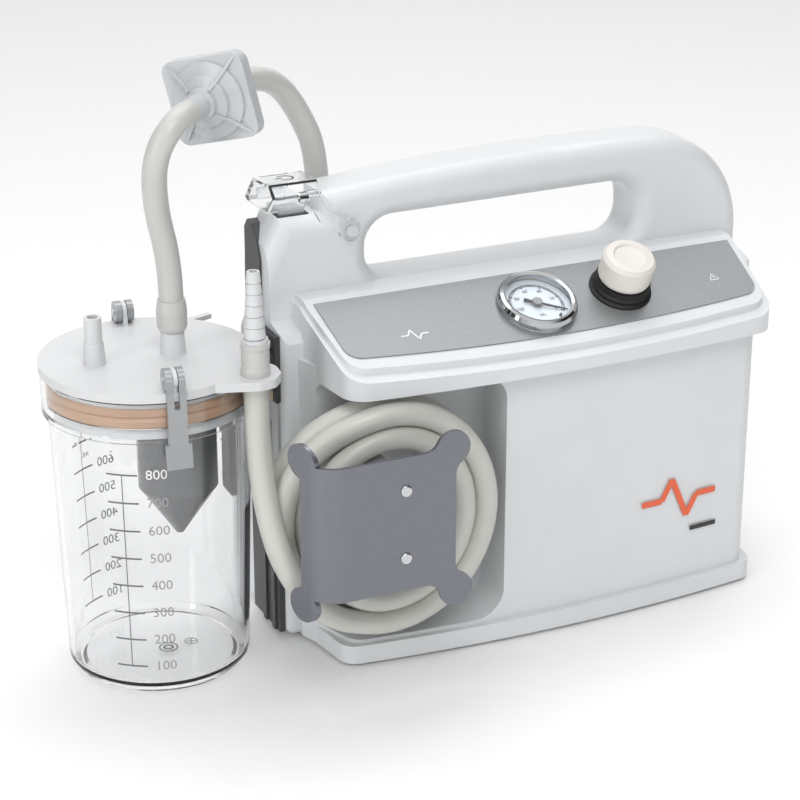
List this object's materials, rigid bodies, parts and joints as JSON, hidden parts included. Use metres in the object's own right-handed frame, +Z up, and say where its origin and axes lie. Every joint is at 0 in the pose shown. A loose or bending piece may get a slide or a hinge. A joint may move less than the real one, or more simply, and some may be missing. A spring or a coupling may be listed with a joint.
{
  "type": "suction pump",
  "caption": "Portable medical suction pump: cased vacuum pump with handle, gauge and regulator, collection jar with float valve, filter, and patient hose on a winder.",
  "frame": {"origin": "middle of the footprint, on the surface that the pump stands on", "axes": "+X to the right seen from the front, away from the jar, +Y to the back, +Z up"},
  "size_m": [0.395, 0.1605, 0.3146],
  "materials": {
    "casing_white": "satin",
    "panel_grey": "fine sand texture",
    "dock_grey": "satin",
    "plate_grey": "satin",
    "contact_brass": "polished",
    "rubber_black": "matt",
    "steel_zinc": "bright zinc",
    "inlet_black": "satin",
    "cover_clear": "clear polycarbonate",
    "bezel_chrome": "polished",
    "dial_white": "printed card",
    "lens_clear": "clear",
    "knob_cream": "satin",
    "jar_clear": "clear moulded plastic",
    "lid_white": "satin",
    "clip_grey": "silver lacquer",
    "gasket_orange": "soft silicone",
    "float_grey": "polished",
    "hose_cream": "translucent silicone",
    "filter_milky": "translucent",
    "winder_metal": "satin sand texture",
    "motor_steel": "zinc plated",
    "pump_alloy": "cast",
    "board_green": "solder resist"
  },
  "bodies": {
    "pump": {"front_casing": "casing_white", "rear_casing": "casing_white", "control_panel_overlay": "panel_grey", "side_dock_panel": "dock_grey", "jar_holder": "dock_grey", "switch_body": "dock_grey", "dock_guide_plate": "plate_grey", "winder_core": "plate_grey", "exhaust_muffler": "plate_grey", "dock_contact": "contact_brass", "gauge_movement": "contact_brass", "inlet_pins": "contact_brass", "rubber_feet": "rubber_black", "regulator_boot": "rubber_black", "motor_mounts": "rubber_black", "diaphragm": "rubber_black", "casing_screws": "steel_zinc", "clip_pins": "steel_zinc", "cover_hinge_pins": "steel_zinc", "winder_rivets": "steel_zinc", "regulator_body": "steel_zinc", "power_inlet": "inlet_black", "gauge_case": "inlet_black", "pump_frame": "inlet_black", "gauge_bezel": "bezel_chrome", "gauge_dial": "dial_white", "gauge_lens": "lens_clear", "jar": "jar_clear", "jar_lid": "lid_white", "hose_connector": "lid_white", "pump_inlet_spout": "lid_white", "lid_gasket": "gasket_orange", "valve_seat": "gasket_orange", "float_cage": "float_grey", "patient_hose": "hose_cream", "patient_hose_coil": "hose_cream", "tube_jar_to_filter": "hose_cream", "tube_filter_to_pump": "hose_cream", "vacuum_cuff": "hose_cream", "hose_cuff": "hose_cream", "hose_end_cuff": "hose_cream", "vacuum_line": "hose_cream", "filter_front_half": "filter_milky", "filter_rear_half": "filter_milky", "filter_membrane": "filter_milky", "hose_winder_plate": "winder_metal", "pump_motor": "motor_steel", "pump_chamber": "pump_alloy", "head_cover": "pump_alloy", "circuit_board": "board_green"},
    "cover": {"switch_cover": "cover_clear"},
    "button": {"power_button": "plate_grey"},
    "knob": {"regulator_knob": "knob_cream"},
    "needle": {"regulator_needle": "steel_zinc"},
    "pointer": {"gauge_pointer": "inlet_black"},
    "clip_front": {"jar_clip_front": "clip_grey"},
    "clip_rear": {"jar_clip_rear": "clip_grey"},
    "float": {"float_ball": "float_grey"},
    "rotor": {"motor_rotor": "steel_zinc"},
    "rod": {"connecting_rod": "inlet_black"}
  },
  "joints": [
    {"name": "cover_hinge", "type": "hinge", "parent": "pump", "child": "cover", "pos_m": [-0.0365, 0.034, 0.2175], "axis": [0, 1, 0], "range_deg": [0, 60]},
    {"name": "button_press", "type": "slide", "parent": "pump", "child": "button", "axis": [0, 0, -1], "range_m": [0, 0.0025], "stiffness_N_per_m": 800},
    {"name": "knob_turn", "type": "hinge", "parent": "pump", "child": "knob", "pos_m": [0.1015, -0.01897, 0.17549], "axis": [0, 0.4067, -0.9135], "range_deg": [0, 300]},
    {"name": "needle_travel", "type": "slide", "parent": "pump", "child": "needle", "axis": [0, 0.4067, -0.9135], "range_m": [0, 0.0009]},
    {"name": "pointer_swing", "type": "hinge", "parent": "pump", "child": "pointer", "pos_m": [0.0515, -0.02071, 0.17472], "axis": [0, -0.4067, 0.9135], "range_deg": [0, 220]},
    {"name": "clip_front_hinge", "type": "hinge", "parent": "pump", "child": "clip_front", "pos_m": [-0.14786, -0.02881, 0.1715], "axis": [-0.9962, 0.0872, 0], "range_deg": [0, 100]},
    {"name": "clip_rear_hinge", "type": "hinge", "parent": "pump", "child": "clip_rear", "pos_m": [-0.13914, 0.07081, 0.1715], "axis": [0.9962, -0.0872, 0], "range_deg": [0, 100]},
    {"name": "float_rise", "type": "slide", "parent": "pump", "child": "float", "axis": [0, 0, 1], "range_m": [0, 0.038]},
    {"name": "rotor_spin", "type": "hinge", "parent": "pump", "child": "rotor", "pos_m": [0.13, 0.037, 0.052], "axis": [1, 0, 0], "continuous": true},
    {"name": "rod_stroke", "type": "slide", "parent": "pump", "child": "rod", "axis": [0, 0, 1], "range_m": [-0.002, 0.002]}
  ],
  "couplings": [
    {"joint": "needle_travel", "follows": "knob_turn", "m_per_rad": 0.00015915}
  ]
}
